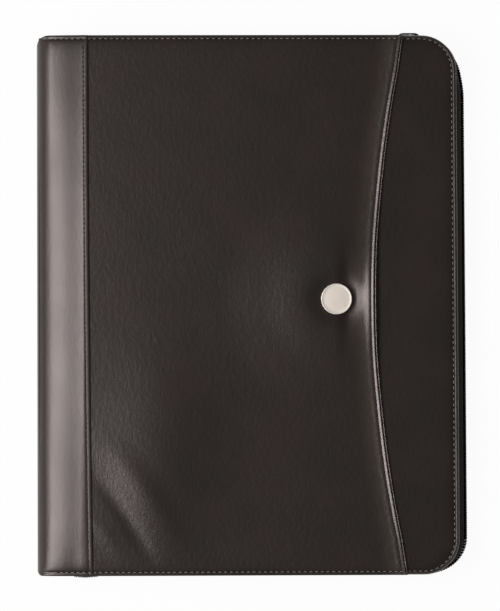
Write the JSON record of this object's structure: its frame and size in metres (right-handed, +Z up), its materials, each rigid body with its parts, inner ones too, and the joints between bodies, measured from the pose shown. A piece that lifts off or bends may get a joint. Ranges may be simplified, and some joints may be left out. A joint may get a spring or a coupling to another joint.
{
  "type": "conference folder",
  "caption": "Closed leather folder for A4 paper: padded covers, curved outside pocket with a magnetic snap, zip round three sides, writing pad inside.",
  "frame": {"origin": "on the table, under the middle of the closed folder", "axes": "+X from the spine to the fore-edge, +Y from the foot to the head, +Z up through the front cover"},
  "size_m": [0.2548, 0.3226, 0.0276],
  "materials": {
    "leather": "smooth semi-gloss, fine grain",
    "lining": "matt twill",
    "board": "grey board",
    "foam": "thin padding felt",
    "zip_tape": "woven tape",
    "zip_coil": "satin nylon",
    "nickel": "satin nickel plate",
    "zip_metal": "black lacquered die casting",
    "steel": "plain pressed steel",
    "paper": "uncoated",
    "card": "grey-brown card",
    "binding": "bookbinder's cloth tape",
    "elastic": "ribbed elastic"
  },
  "bodies": {
    "back_cover": {"back_leather": "leather", "back_strip": "leather", "back_foam": "foam", "back_board": "board", "back_lining": "lining", "back_zip_tape": "zip_tape", "back_zip_coil": "zip_coil", "back_zip_stop": "steel", "foot_zip_stop": "steel", "pad_slot_panel": "leather", "pen_loop": "elastic", "pad_backing_card": "card", "pad_paper_block": "paper", "pad_binding": "binding"},
    "spine": {"spine_strip": "leather", "spine_board": "board", "spine_lining": "lining"},
    "front_cover": {"front_leather": "leather", "front_strip": "leather", "front_foam": "foam", "front_board": "board", "front_lining": "lining", "front_zip_tape": "zip_tape", "front_zip_coil": "zip_coil", "front_zip_stop": "steel", "pocket_panel": "leather", "pocket_facing": "leather", "pocket_lining": "lining", "snap_cap": "nickel", "snap_male": "steel", "snap_female": "steel", "snap_washer": "steel", "document_pocket": "lining", "card_pocket_1": "leather", "card_pocket_2": "leather", "card_pocket_3": "leather"},
    "zip_slider": {"zip_slider": "zip_metal"},
    "pull_tab": {"pull_tab": "zip_metal"}
  },
  "joints": [
    {"name": "spine_fold", "type": "hinge", "parent": "back_cover", "child": "spine", "pos_m": [-0.1259, 0, 0.0015], "axis": [0, -1, 0], "range_deg": [0, 90]},
    {"name": "cover_fold", "type": "hinge", "parent": "spine", "child": "front_cover", "pos_m": [-0.1259, 0, 0.024], "axis": [0, -1, 0], "range_deg": [0, 90]},
    {"name": "zip_slide", "type": "slide", "parent": "back_cover", "child": "zip_slider", "axis": [-1, 0, 0], "range_m": [0, 0.183]},
    {"name": "pull_swing", "type": "hinge", "parent": "zip_slider", "child": "pull_tab", "pos_m": [0.0935, 0.15945, 0.0111], "axis": [0, 0, -1], "range_deg": [0, 170]}
  ]
}
